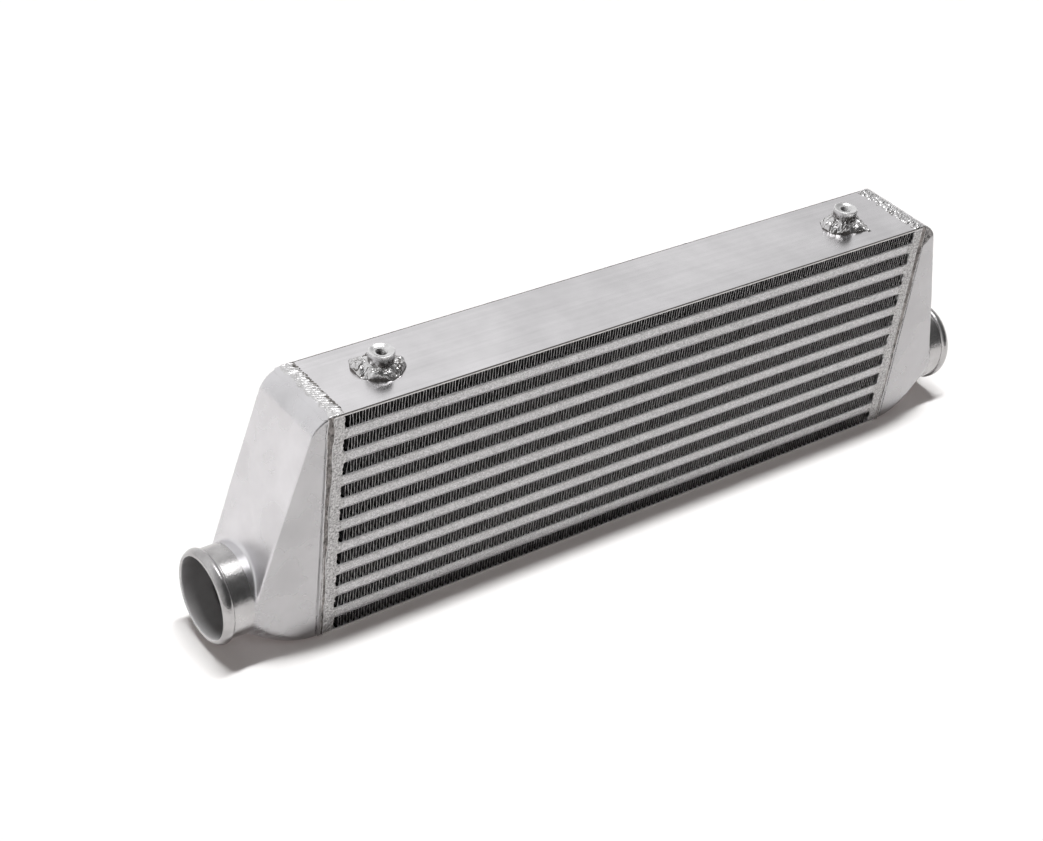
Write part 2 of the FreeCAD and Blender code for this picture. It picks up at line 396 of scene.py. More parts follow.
def weld_aluminium(name, smooth, rough):
    """Bright weld metal with fine solidification texture."""
    metal = Metal(name)
    plain = metal.coordinates()
    cloud = metal.noise(plain, 260, 4)
    grain = metal.noise(plain, 2200)
    color = metal.blend(cloud, (0.50, 0.49, 0.49), (0.76, 0.755, 0.76))
    return metal.finish(color, metal.remap(cloud, smooth, rough), [(cloud, 0.2 * mm, 0.5), (grain, 0.03 * mm, 0.3)])


def stain_and_shade_metal(name, dark, light):
    """Flux stain in the ground joint, and painted shade beside the welds, in their undercut and creases."""
    metal = Metal(name, 0.8)
    stretched = metal.coordinates(1, 1, 0.55)
    cloud = metal.noise(stretched, 400, 5, 0.75)
    grain = metal.noise(stretched, 900)
    return metal.finish(metal.blend(cloud, dark, light), metal.remap(grain, 0.4, 0.65),
                        [(cloud, 0.5 * mm, 0.6), (grain, 0.1 * mm, 0.5)])


def boss_aluminium():
    """Turned boss, darker in patches below its rim."""
    metal = Metal("boss_aluminium")
    plain = metal.coordinates()
    cloud = metal.noise(plain, 150)
    grain = metal.noise(plain, 1500, 2)
    clean = metal.blend(cloud, (0.68, 0.675, 0.675), (0.80, 0.795, 0.80))
    low = metal.remap(metal.place("Z"), 1, 0, boss_top - 4.0 * mm, boss_top - 2.4 * mm)
    mottle = metal.remap(metal.noise(plain, 330), 0, 1, 0.40, 0.52)
    color = metal.mix(metal.both(low, mottle), clean, (0.17, 0.16, 0.155))
    return metal.finish(color, metal.remap(cloud, 0.22, 0.34), [(grain, 0.02 * mm, 0.3)])


# End tanks

def smooth_share(value):
    value = np.clip(value, 0.0, 1.0)
    return value * value * (3 - 2 * value)


def rounded_corner(a, b, radius):
    """Distance to what lies inside both surfaces, with a rounded edge where they meet."""
    inside = np.minimum(-radius, np.maximum(a, b))
    return inside + np.hypot(np.maximum(radius + a, 0), np.maximum(radius + b, 0))


def filleted_union(a, b, radius):
    """Distance to what lies inside either surface, with a fillet where they meet."""
    outside = np.maximum(radius, np.minimum(a, b))
    return outside - np.hypot(np.maximum(radius - a, 0), np.maximum(radius - b, 0))


def slope_x(z):
    return tank_start + tank_top_length + (core_height - z) * math.tan(tank_slope)


def soft_limit(value, softness=0.12):
    """The value, held at 1 with a soft transition."""
    share = np.clip(0.5 + 0.5 * (1 - value) / softness, 0, 1)
    return value * share + (1 - share) - softness * share * (1 - share)


def sweep_share(x, power):
    """How far the trough has turned from the core's rectangle to the neck's circle."""
    return soft_limit(((x - tank_start) / (tank_end - tank_start)) ** power)


def bottom_z(x):
    """The tank's underside, which sweeps up from the core's bottom to the neck."""
    return sweep_share(x, 2.3) * (spigot_height - neck_radius)


def half_width(x):
    share = np.clip((x - tank_start) / (tank_end - tank_start), 0, 1)
    return core_half_depth + share * (neck_radius - core_half_depth)


def tank_distance(x, y, z):
    """How far a point lies outside the tank's outer surface, neck included."""
    profile = rounded_corner(z - core_height, (x - slope_x(z)) * math.cos(tank_slope), shoulder_rounding)
    neck = np.hypot(y, z - spigot_height) - neck_radius
    profile = filleted_union(profile, neck, neck_fillet)
    side = np.abs(y) - half_width(x)
    drop = smooth_share((core_height - edge_change_depth - z) / edge_change_length)
    edge_rounding = top_edge_rounding + drop * (foot_edge_rounding - top_edge_rounding)
    upper = rounded_corner(profile, side, edge_rounding)
    corner = bottom_corner + sweep_share(x, 2.0) * (neck_radius - bottom_corner)
    lower = rounded_corner(bottom_z(x) - z, side, corner)
    return np.minimum(np.maximum(upper, lower), neck)


def section_targets(x):
    """Points round a section, spread over a box that narrows to the neck's circle, bunched at its corners."""
    top_profile = min(core_height, core_height - (x - tank_start - tank_top_length) / math.tan(tank_slope))
    top = max(top_profile, spigot_height + neck_radius)
    bottom = bottom_z(x)
    width = half_width(x)
    across = -np.cos(np.linspace(0, math.pi, ring_top_points + 1))[:-1]
    up = -np.cos(np.linspace(0, math.pi, ring_side_points + 1))[:-1]
    middle, half = (top + bottom) / 2, (top - bottom) / 2
    box_y = np.concatenate([across * width, np.full(len(up), width), -across * width, np.full(len(up), -width)])
    box_z = np.concatenate([np.full(len(across), bottom), middle + up * half,
                            np.full(len(across), top), middle - up * half])
    turn = np.concatenate([across - 2, up, across + 2, up + 4]) * math.pi / 4
    round_y = neck_radius * np.cos(turn)
    round_z = spigot_height + neck_radius * np.sin(turn)
    share = smooth_share((x - tank_end + 12 * mm) / (10 * mm))
    return box_y + share * (round_y - box_y), box_z + share * (round_z - box_z)


def cast_ring(x, level):
    """A section of the surface at a distance from the outer one, found along rays from the neck's axis."""
    target_y, target_z = section_targets(x)
    run_y, run_z = target_y, target_z - spigot_height
    near, far = np.zeros(len(run_y)), np.full(len(run_y), 1.6)
    for step in range(34):
        middle = (near + far) / 2
        inside = tank_distance(x, run_y * middle, spigot_height + run_z * middle) < level
        near = np.where(inside, middle, near)
        far = np.where(inside, far, middle)
    return np.stack([np.full(len(run_y), x), run_y * near, spigot_height + run_z * near], axis=1)


def turned_ring(x, radius):
    """A circle round the spigot's axis, with as many points as a cast section."""
    target_y, target_z = section_targets(tank_end)
    return np.stack([np.full(len(target_y), x), target_y * radius / neck_radius,
                     spigot_height + (target_z - spigot_height) * radius / neck_radius], axis=1)


def section_places():
    """Where the tank's sections lie: evenly along its top line, then close together at the neck."""
    places = [tank_start + start_edge_rounding * share for share in (0, 0.04, 0.15, 0.35, 0.65, 1.0)]
    places += [tank_start + step * mm for step in (1.5, 2.2, 3.0)]
    turn = math.pi / 2 - tank_slope
    reach = shoulder_rounding * math.tan(turn / 2)
    arc_x = tank_start + tank_top_length - reach
    for share in np.linspace(0, 1, 15):
        places.append(arc_x + shoulder_rounding * math.sin(turn * share))
    foot = slope_x(spigot_height + neck_radius) - 1.5 * mm
    places += list(np.linspace(places[-1], foot, 60)[1:])
    places += list(np.arange(foot + 0.4 * mm, tank_end + 4.2 * mm, 0.4 * mm))
    return places


def tank_top_drop(x):
    """How far the tank's upper surface lies below the core's top, for each x of a grid."""
    stations = np.linspace(tank_start, tank_start + shoulder_rounding, 40)
    low, high = np.full(40, core_height - 30 * mm), np.full(40, core_height + 5 * mm)
    for step in range(30):
        middle = (low + high) / 2
        inside = tank_distance(stations, np.zeros(40), middle) < 0
        low, high = np.where(inside, middle, low), np.where(inside, high, middle)
    return core_height - np.interp(x, stations, low)


def start_level(x):
    """How far the rounded edge beside the joint draws a section in."""
    run = max(start_edge_rounding - (x - tank_start), 0)
    return -(start_edge_rounding - math.sqrt(max(start_edge_rounding ** 2 - run ** 2, 0)))


def spigot_outline():
    """The turned end as (distance from the rim, radius): neck, rounded bead, thin rim and bore."""
    shape = [(18.5, 31.25), (14, 31.2), (10.5, 31.2), (9.2, 31.2), (8.7, 31.15), (8.3, 30.95), (8.0, 30.95),
             (7.8, 31.3), (7.4, 31.95), (6.9, 32.5), (6.3, 32.85), (5.6, 33.03), (4.9, 33.05), (4.2, 32.95),
             (3.4, 32.7), (2.6, 32.35), (1.8, 31.85), (1.1, 31.3), (0.6, 30.8), (0.25, 30.3), (0.05, 29.8),
             (0.0, 29.5), (0.12, 29.15), (0.4, 28.85), (0.9, 28.6), (2, 28.5), (5, 28.5), (10, 28.5), (17, 28.5)]
    return [(spigot_end - away * mm, radius * mm) for away, radius in shape]


def end_tank(side, materials):
    """One casting as a closed skin: outside, rim, bore and the cavity back to the core."""
    places = section_places()
    turned = spigot_outline()
    outer = [cast_ring(x, start_level(x)) for x in places]
    spigot = [turned_ring(x, radius) for x, radius in turned]
    inner_places = places[::-3] + ([places[0]] if (len(places) - 1) % 3 else [])
    inner = [cast_ring(x, -tank_wall) for x in inner_places]
    rings = np.array(outer + spigot + inner)
    bore_from = len(outer) + len(spigot) - 6
    row = np.repeat(np.arange(len(rings)), rings.shape[1])
    index = np.where(row < len(outer) - 6, 0, np.where(row < bore_from, 1, 2))
    name = side_name(side) + "_end_tank"
    add_rings(name + "_casting", rings * [side, 1, 1], True, materials, "cast_tank", [name], 40, index)


# Ambient fins

def box_faces(count):
    """Quads of many boxes, each with its low four corners first and its high four after them."""
    one = np.array([[0, 3, 2, 1], [4, 5, 6, 7], [0, 1, 5, 4], [1, 2, 6, 5], [2, 3, 7, 6], [3, 0, 4, 7]])
    return (one[None] + 8 * np.arange(count)[:, None, None]).reshape(-1, 4)


def folded_outline(base, top, rng):
    """Middle line of the folded sheet: crest, wall, crest, wall, with the unevenness of real folding."""
    left, right = -fin_end + fin_end_gap * rng.uniform(0.8, 1.4), fin_end - fin_end_gap * rng.uniform(0.8, 1.4)
    wall = np.arange(fin_walls + 1)
    loose = np.exp(-np.minimum(wall, fin_walls - wall) / 3.0)
    shift = rng.normal(0, fold_scatter, len(wall)) * (1 + 2.4 * loose)
    centre = left + wall * (right - left) / fin_walls + shift
    centre = np.clip(centre, -fin_end + 0.2 * mm, fin_end - 0.2 * mm)
    high = wall % 2 == 1
    level = np.where(high, top - fin_sheet / 2, base + fin_sheet / 2)
    half = fin_crest / 2
    x = np.stack([centre - half, centre + half], axis=1).ravel()
    return x, np.repeat(level, 2), centre, level


def strip_slab(x, z, y_low, y_high):
    """A closed slab of the folded sheet between two depths, with its cut edges marked."""
    along = np.gradient(x)
    rise = np.gradient(z)
    length = np.hypot(along, rise)
    off_x, off_z = -rise / length * fin_sheet / 2, along / length * fin_sheet / 2
    loop = np.concatenate([np.stack([x + off_x, z + off_z], 1), np.stack([x - off_x, z - off_z], 1)[::-1]])
    count = len(loop)
    points = np.concatenate([np.insert(loop, 1, y_low, axis=1), np.insert(loop, 1, y_high, axis=1)])
    run = np.arange(count)
    after = (run + 1) % count
    sides = np.stack([run, after, after + count, run + count], axis=1)
    step = np.arange(count // 2 - 1)
    front = np.stack([step, count - 1 - step, count - 2 - step, step + 1], axis=1)
    back = front[:, ::-1] + count
    faces = np.concatenate([sides, front, back])
    edge = np.concatenate([np.zeros(len(sides)), np.ones(len(front) + len(back))])
    return points, faces, edge


def louvres(centre, level, y_from, direction, rng):
    """Tilted slats in the walls, behind the plain lip."""
    points = []
    x0, x1 = centre[:-1] + fin_crest / 2, centre[1:] - fin_crest / 2
    z0, z1 = level[:-1], level[1:]
    for slat in range(louvre_count):
        y_mid = y_from + direction * (slat + 0.5) * louvre_pitch
        tilt = louvre_tilt * direction * np.where(np.arange(len(x0)) % 2 == 0, 1, -1) + rng.normal(0, 0.05, len(x0))
        run_x, run_y = 0.5 * louvre_pitch * np.sin(tilt), 0.5 * louvre_pitch * np.cos(tilt)
        thick_x, thick_y = 0.5 * fin_sheet * np.cos(tilt), 0.5 * fin_sheet * np.sin(tilt)
        corners = []
        for share in (0.06, 0.94):
            x = x0 + share * (x1 - x0)
            z = z0 + share * (z1 - z0)
            for along, out in ((-1, -1), (-1, 1), (1, 1), (1, -1)):
                corners.append(np.stack([x + along * run_x + out * thick_x,
                                         y_mid + along * run_y - out * thick_y, z], axis=1))
        points.append(np.stack(corners, axis=1))
    return np.concatenate(points).reshape(-1, 3)


def crest_strips(centre, level, y_low, y_high):
    """The brazed crests, which run on past the slats."""
    half_x, half_z = fin_crest / 2 + 0.05 * mm, fin_sheet / 2
    corners = []
    for dz in (-half_z, half_z):
        for dx, y in ((-half_x, y_low), (half_x, y_low), (half_x, y_high), (-half_x, y_high)):
            corners.append(np.stack([centre + dx, np.full(len(centre), y), level + dz], axis=1))
    return np.stack(corners, axis=1).reshape(-1, 3)


def ambient_fins(row, materials):
    """One row of folded, louvred fins."""
    node = "ambient_fin_%02d" % row
    low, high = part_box(node)
    rng = np.random.default_rng(400 + row)
    x, z, centre, level = folded_outline(low.z, high.z, rng)
    front = low.y
    lip = front + fin_lip
    zone = lip + louvre_count * louvre_pitch
    parts = [strip_slab(x, z, front, lip), strip_slab(x, z, zone, -zone), strip_slab(x, z, -lip, -front)]
    for boxes in (louvres(centre, level, lip, 1, rng), louvres(centre, level, -lip, -1, rng),
                  crest_strips(centre, level, lip, zone), crest_strips(centre, level, -zone, -lip)):
        quads = box_faces(len(boxes) // 8)
        parts.append((boxes, quads, np.zeros(len(quads))))
    starts = np.cumsum([0] + [len(points) for points, quads, edge in parts])
    faces = np.concatenate([quads + start for (points, quads, edge), start in zip(parts, starts)])
    points, index = [np.concatenate([part[place] for part in parts]) for place in (0, 2)]
    add_piece(node + "_louvred", points, faces, materials, "fin", [node], 30, index)


# Core bars

def bar_profile(height):
    """Front face of a charge passage as (depth, height): sheet edge, seam, ground bar, seam, sheet edge."""
    lower = [(0.12, 0.0), (0.0, 0.12), (0.0, 0.44), (0.30, 0.56), (0.14, 0.78), (0.03, 1.2), (0.0, 2.2)]
    upper = [(depth, height / mm - level) for depth, level in reversed(lower)]
    return np.array(lower + upper) * mm


def charge_passage(row, materials):
    """Two parting sheets and the two ground bars between them, hollow inside, with slightly uneven faces."""
    node = "charge_tube_%02d" % row
    low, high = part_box(node)
    inner_low, inner_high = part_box("charge_fin_%02d" % row)
    face = bar_profile(high.z - low.z)
    depth = np.concatenate([face[:, 0], face[::-1, 0]])
    level = low.z + np.concatenate([face[:, 1], face[::-1, 1]])
    front = np.arange(len(depth)) < len(face)
    stations = np.linspace(low.x, high.x, int((high.x - low.x) / bar_station) + 1)
    x, column = np.meshgrid(stations, np.arange(len(depth)), indexing="ij")
    uneven = bar_unevenness * (1 + patchy(x, level[column] * 4 + np.where(front, 0, 1)[column], 7 * mm, row + 0.3))
    inset = depth[column] + uneven * np.where(depth[column] > 0.2 * mm, 1.6, 0.7)
    y = np.where(front[column], low.y + inset, high.y - inset)
    outer = np.stack([x, y, level[column]], axis=2)
    inner = np.stack([x[[-1, 0]], np.clip(y[[-1, 0]], inner_low.y, inner_high.y),
                      np.clip(level[column][[-1, 0]], inner_low.z, inner_high.z)], axis=2)
    rings = np.concatenate([outer, inner])
    add_rings(node + "_bars", rings, True, materials, "core_bar", [node], 50)


def end_bar(side, row, materials):
    """One of the short bars that close a row of fins, with a ragged inner corner."""
    node = "%s_end_bar_%02d" % (side_name(side), row)
    low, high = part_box(node)
    inner = min(abs(low.x), abs(high.x))
    face = [(8.0, 0.0), (5.0, 0.0), (2.6, 0.02), (1.3, 0.05), (0.6, 0.18), (0.15, 0.55),
            (0.0, 1.2), (0.0, 3.0), (0.0, 8.0)]
    run = np.array(face + [(across, 2 * core_half_depth / mm - depth) for across, depth in reversed(face)]) * mm
    levels = np.linspace(low.z, high.z, 16)
    z, column = np.meshgrid(levels, np.arange(len(run)), indexing="ij")
    across, depth = run[column, 0], run[column, 1]
    near = np.clip(1 - across / (2.6 * mm), 0, 1)
    ragged = patchy(z, depth, 2.4 * mm, row + side * 0.4) + 0.6 * patchy(z, depth, 0.9 * mm, row + side * 0.3)
    x = inner + across + end_bar_ragged * near * ragged
    y = np.clip(-core_half_depth + depth, low.y + 0.05 * mm * (1 + ragged), high.y - 0.05 * mm * (1 + ragged))
    rings = np.stack([side * x, y, z], axis=2)
    centre = np.array([side * (inner + 4 * mm), 0, 0])
    first, last = [ring * [0, 0, 1] + centre + 0.001 * ring * [1, 1, 0] for ring in (rings[0], rings[-1])]
    rings = np.concatenate([first[None], rings, last[None]])
    add_rings(node + "_ground", rings, False, materials, "core_bar", [node], 50)


# Welds

def closed_strip(name, top, depth, materials, slot, replaces, index=None, wrap=True):
    """A skin given as a grid of points, closed by a copy drawn in along the depth vectors."""
    rings = np.concatenate([top, (top + depth)[:, [-1, 0]]], axis=1)
    if index is not None:
        index = np.pad(index, ((0, 0), (0, 2))).ravel()
    add_rings(name, rings, wrap, materials, slot, replaces, 60, index)


def end_skin(side, face, materials):
    """Metal smeared over the joints at one end of the core's front or rear, ragged beside the fins."""
    z = np.arange(1.9 * mm, core_height - 1.9 * mm, skin_step)
    on_bar = np.zeros(len(z))
    for row in range(1, tube_count + 1):
        low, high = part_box("charge_tube_%02d" % row)
        inside = (high.z - low.z) / 2 - np.abs(z - (low.z + high.z) / 2)
        on_bar = np.maximum(on_bar, np.clip(inside / skin_step, 0, 1))
    seed = side * 3.3 + face * 1.7
    inner = fin_end + 1.0 * mm * wavy(z, seed, 2.2 * mm) + 0.6 * mm * wavy(z, seed + 2, 1.0 * mm)
    inner = inner - on_bar * (3.0 + 2.5 * wavy(z, seed + 4, 9 * mm)) * mm
    share = np.linspace(0, 1, 11)[None]
    x = inner[:, None] + (core_end - 0.3 * mm - inner[:, None]) * share
    level = np.broadcast_to(z[:, None], x.shape)
    rise = (0.22 + 0.30 * patchy(level, x, 1.7 * mm, seed) + 0.16 * patchy(level, x, 0.8 * mm, seed + 6)) * mm
    rise = rise * np.minimum(share * 4, 1) - 0.02 * mm
    thick = np.full(x.shape, skin_depth)
    thick[[0, -1]] = 0
    top = np.stack([side * x, face * (core_half_depth + rise), level], axis=2)
    top[[0, -1], :, 1] = face * core_half_depth
    depth = np.stack([np.zeros(x.shape), -face * thick, np.zeros(x.shape)], axis=2)
    name = "%s_%s_end_skin" % (side_name(side), "rear" if face > 0 else "front")
    closed_strip(name, top, depth, materials, "core_bar", [], wrap=False)


def loop_stations(step):
    """Points, outward directions and lengths along the core's outline at the joint, from its lower front corner."""
    half, height, corner = core_half_depth, core_height, 1.2 * mm
    runs = [((-half, corner), (-half, height - corner), (-1, 0)),
            ((-half + corner, height), (half - corner, height), (0, 1)),
            ((half, height - corner), (half, corner), (1, 0)),
            ((half - corner, 0), (-half + corner, 0), (0, -1))]
    places, ways = [], []
    for number, (start, end, way) in enumerate(runs):
        start, end, way = np.array(start), np.array(end), np.array(way, float)
        count = max(int(np.linalg.norm(end - start) / (step if way[1] < 0.5 else 0.3 * mm)), 2)
        for share in np.arange(count) / count:
            places.append(start + share * (end - start))
            ways.append(way)
        after = np.array(runs[(number + 1) % 4][2], float)
        centre = end - way * corner
        for turn in (0.0, 0.25, 0.5, 0.75):
            mixed = way * math.cos(turn * math.pi / 2) + after * math.sin(turn * math.pi / 2)
            places.append(centre + mixed * corner)
            ways.append(mixed)
    return np.array(places), np.array(ways)


def wavy(values, seed, scale):
    """Smooth noise along a line."""
    return np.array([noise.noise(Vector((value / scale, seed, 0.37))) for value in values])


def patchy(first, second, scale, seed):
    """Smooth noise over a grid of two coordinates."""
    first, second = np.broadcast_arrays(first, second)
    pairs = zip(first.ravel().tolist(), second.ravel().tolist())
    return np.array([noise.noise(Vector((a / scale, b / scale, seed))) for a, b in pairs]).reshape(first.shape)


def tank_weld(side, materials, seed, sparkle):
    """The joint between core and tank: a rippled bead over the top and a stained groove down the other faces."""
    places, ways = loop_stations(0.5 * mm)
    count = len(places)
    steps = np.linalg.norm(np.roll(places, -1, axis=0) - places, axis=1)
    along = np.concatenate([[0], np.cumsum(steps)[:-1]])
    on_top = smooth_share((ways[:, 1] - 0.35) / 0.6)
    height_share = places[:, 1] / core_height
    shift = 0.45 * mm * wavy(along, seed, 14 * mm) + 0.25 * mm * wavy(along, seed + 5, 4 * mm)
    across = np.concatenate([np.linspace(-1, -0.7, 9), np.linspace(-0.7, 1, 26)[1:]])[None]
    groove_mid = core_end + (1.45 + 0.5 * height_share) * mm
    groove_half = (1.9 + 1.1 * height_share ** 2) * mm * (1 + 0.3 * wavy(along, seed + 9, 10 * mm))
    bead_mid = core_end - 1.2 * mm
    mid = groove_mid + on_top * (bead_mid - groove_mid) + shift
    half = groove_half + on_top * (bead_half_width - groove_half)
    x = mid[:, None] + half[:, None] * across
    far = np.broadcast_to(along[:, None], x.shape)
    scallop = 0.7 * np.abs(np.sin(math.pi * (along + 1.5 * mm * wavy(along, seed + 31, 6 * mm)) / scallop_pitch))
    scallop = (scallop + 0.5 * wavy(along, seed + 33, 1.6 * mm)) * on_top
    x = x - scallop[:, None] * np.clip(-across - 0.5, 0, 0.5) * 2 * mm
    shoulder_drop = np.maximum(tank_top_drop(x), 0)

    crown = np.maximum(1 - across ** 2, 0) ** np.where(across < 0, 0.5, 1.3)
    arc = far - 5.0 * mm * across + 2.0 * mm * (1 - across ** 2) + 1.2 * mm * patchy(far, x, 5 * mm, seed + 3)
    ripple = np.abs(np.sin(math.pi * arc / ripple_pitch)) ** 0.6 * np.clip(1.3 - 0.9 * across, 0.4, 1)
    lumps = 1 + 0.5 * patchy(far, x, 5 * mm, seed + 7)
    crumple = patchy(far, x, 2.6 * mm, seed + 13) * np.clip(0.7 - across, 0, 1) * sparkle * mm
    crease = np.maximum(1 - np.abs(patchy(far, x, 4 * mm, seed + 19)) / 0.07, 0)
    merge = 0.3 * patchy(far, x, 4 * mm, seed + 23) * (across > 0.2)
    level = -0.2 * mm + 0.25 * mm * smooth_share(across / 0.7)
    relief = (0.85 * lumps + 0.55 * ripple - 0.5 * sparkle * crease + merge) * mm + crumple
    bead = level - shoulder_drop + crown * relief

    gap = np.maximum(1 - ((x - core_end - 1.5 * mm) / (1.5 * mm)) ** 2, 0) ** 0.7
    ridge = np.exp(-((across - 0.1) / 0.18) ** 2) * np.clip(1.15 - 1.9 * height_share[:, None], 0, 1)
    grain = patchy(far, x, 1.1 * mm, seed + 11)
    tank_burr = 0.24 * mm * np.exp(-((across - 0.84) / 0.09) ** 2)
    burr = tank_burr + 0.16 * mm * np.exp(-((across + 0.82) / 0.12) ** 2)
    groove = 0.05 * mm + burr * (1 + grain) - gap * (groove_depth * (1 - ridge) + 0.2 * mm * grain)
    groove = groove - 0.5 * mm * np.maximum(np.abs(across) - 0.92, 0) / 0.08

    rise = groove + on_top[:, None] * (bead - groove)
    rise = np.where(ways[:, 1:] < -0.01, np.minimum(rise, -0.02 * mm), rise)
    outward_way = np.concatenate([np.zeros((count, 1)), ways], axis=1)
    base = np.stack([np.zeros(count), places[:, 0], places[:, 1]], axis=1)
    top = base[:, None, :] + outward_way[:, None, :] * rise[:, :, None]
    top[:, :, 0] = x
    depth = -outward_way[:, None, :] * (weld_depth + rise[:, :, None])
    bead_part = on_top[:, None] > 0.5
    stained = (np.abs(across) < 0.76) & (ridge < 0.35) & (on_top[:, None] < 0.5)
    polished = (across > 0.5 + 0.35 * patchy(far, x, 5 * mm, seed + 29)) & bead_part
    edge = (-0.74 if sparkle < 1 else -0.97) + 0.25 * wavy(along, seed + 17, 2.4 * mm)[:, None]
    # The dark strip at the bead's plate side is painted shade for an undercut that the mesh does not have.
    undercut_shade = (across < edge + 0.2 * (ripple - 0.5)) & bead_part
    name = side_name(side) + "_tank_weld"
    index = stained + 2 * undercut_shade + 3 * polished
    closed_strip(name + "_bead", top * [side, 1, 1], depth, materials, "weld", [name], index)


def threaded_boss(side, materials):
    """Turned boss with a rounded rim, a dished face and a tapped blind hole."""
    low, high = core_height + 0.02 * mm, boss_top
    outline = [(0.02 * mm, low), (boss_radius - 0.3 * mm, low), (boss_radius, low + 0.3 * mm),
               (boss_radius, high - boss_bevel - 2 * mm)]
    for turn in np.linspace(0, math.pi / 2, 7):
        outline.append((boss_radius - boss_bevel + boss_bevel * math.cos(turn),
                        high - boss_bevel + boss_bevel * math.sin(turn)))
    dish = [(7.8, 0.05), (7.3, 0.2), (6.7, 0.5), (6.0, 0.85), (5.3, 1.1), (4.7, 1.22), (4.2, 1.25), (4.0, 1.33),
            (3.85, 1.6)]
    outline += [(radius * mm, high - sunk * mm) for radius, sunk in dish]
    turn = np.arange(boss_columns) * 2 * math.pi / boss_columns
    for z in np.arange(high - 1.8 * mm, high - thread_depth + 1.0 * mm, -thread_pitch / 8):
        phase = (z / thread_pitch - turn / (2 * math.pi)) % 1.0
        fade = min(1.0, (z - high + thread_depth - 0.9 * mm) / mm)
        outline.append((thread_radius + thread_cut * fade * (1 - np.abs(2 * phase - 1)), z))
    floor_z = high - thread_depth
    outline += [(thread_radius, floor_z + 0.6 * mm), (thread_radius - 0.2 * mm, floor_z + 0.3 * mm),
                (0.02 * mm, floor_z - 0.9 * mm)]
    rings = [np.stack([side * boss_x + radius * np.cos(turn), radius * np.sin(turn),
                       np.full(boss_columns, z)], axis=1) for radius, z in outline]
    name = side_name(side) + "_boss"
    add_rings(name + "_turned", np.array(rings), False, materials, "boss", [name], 32)


def puddle_profile(corners, turn):
    """Toe distance and the three heights in each direction, along the straight runs between the corners."""
    corners = sorted(corners, key=lambda corner: math.atan2(corner[1], corner[0]))
    rows = []
    for angle in turn:
        way = np.array([math.cos(angle), math.sin(angle)])
        for first, second in zip(corners, corners[1:] + corners[:1]):
            start, end = np.array(first[:2]), np.array(second[:2])
            spread = (end[0] - start[0]) * way[1] - (end[1] - start[1]) * way[0]
            share = -(start[0] * way[1] - start[1] * way[0]) / spread if abs(spread) > 1e-9 else -1
            place = start + share * (end - start)
            if -1e-9 <= share <= 1 + 1e-9 and place.dot(way) > 0:
                heights = np.array(first[2:]) + share * (np.array(second[2:]) - np.array(first[2:]))
                rows.append([place.dot(way), *heights])
                break
    return np.array(rows).T * mm


def boss_puddle(side, materials, corners, dabs, seed):
    """Hand-laid weld round a boss: flat-sided runs between corners, dabs, creases and a steep toe."""
    turn = (np.arange(puddle_columns) + 0.5) * 2 * math.pi / puddle_columns - math.pi
    reach, toe_height, middle_height, top_height = puddle_profile(corners, turn)
    share = (np.linspace(0, 1, puddle_rows) ** 0.85)[:, None]
    start = boss_radius - 0.6 * mm
    radius = start + share * (reach[None] - start)
    x, y = radius * np.cos(turn)[None], radius * np.sin(turn)[None]
    height = np.where(share < 0.5, top_height + 2 * share * (middle_height - top_height),
                      middle_height + (2 * share - 1) * (toe_height - middle_height))
    for dab_x, dab_y, size, peak in dabs:
        distance = np.hypot(x - dab_x * mm, y - dab_y * mm) / (size * mm)
        height = np.maximum(height, peak * mm * np.sqrt(np.maximum(1 - distance ** 2, 0)))
    toe = np.sqrt(np.maximum(1 - share ** 9, 0))
    crease = np.maximum(1 - np.abs(patchy(x, y, 5 * mm, seed + 8)) / 0.06, 0)
    fold = np.abs(patchy(x, y, 4.4 * mm, seed + 12))
    rough = 0.5 * patchy(x, y, 2.6 * mm, seed) + 0.3 * patchy(x, y, 1.2 * mm, seed + 4)
    rough = rough - 0.9 * crease + 2.2 * (fold - 0.2)
    height = np.clip((height + rough * mm) * toe, 0, boss_top - core_height - 5 * mm)
    top = np.stack([side * boss_x + x, y, core_height - 0.05 * mm + height], axis=2)
    low = top.copy()
    low[:, :, 2] = core_height - 0.3 * mm
    rings = np.concatenate([low[:1], top, low[-1:]])
    name = side_name(side) + "_boss_weld"
    index = np.zeros((len(rings), puddle_columns), int)
    # Creases, fold lines and the last rows at the toe get the dark metal, as painted shade.
    index[1:-1] = (crease > 0.35) | ((fold < 0.02) & (patchy(x, y, 9 * mm, seed + 15) > 0))
    index[-3:] = 1
    add_rings(name + "_puddle", rings, True, materials, "weld", [name], 40, index.ravel())


# Stage

def shown_rays(graph):
    """1 for rays from the camera and for those that metal and glass send on, 0 for the rest."""
    path = graph.new("LightPath")
    total = path.outputs["Is Camera Ray"]
    for kind in ("Is Glossy Ray", "Is Transmission Ray"):
        total = graph.calculate("MAXIMUM", total, path.outputs[kind])
    return total


def make_floor():
    """A white floor that keeps the object's shadow."""
    size = 30
    mesh = bpy.data.meshes.new("floor")
    mesh.from_pydata([(-size, -size, 0), (size, -size, 0), (size, size, 0), (-size, size, 0)], [], [(0, 1, 2, 3)])
    material = bpy.data.materials.new("floor_white")
    material.use_nodes = True
    graph = Graph(material.node_tree)
    graph.nodes.remove(graph.nodes["Principled BSDF"])
    diffuse = graph.new("BsdfDiffuse")
    diffuse.inputs["Color"].default_value = (0.95, 0.945, 0.94, 1)
    glow = graph.new("Emission")
    glow.inputs["Color"].default_value = (1, 0.76, 0.68, 1)
    graph.feed(glow.inputs["Strength"], graph.calculate("MULTIPLY", shown_rays(graph), floor_lift))
    both = graph.new("AddShader")
    graph.feed(both.inputs[0], diffuse.outputs[0])
    graph.feed(both.inputs[1], glow.outputs[0])
    graph.feed(graph.nodes["Material Output"].inputs["Surface"], both.outputs[0])
    mesh.materials.append(material)
    floor = new_object("floor", mesh)


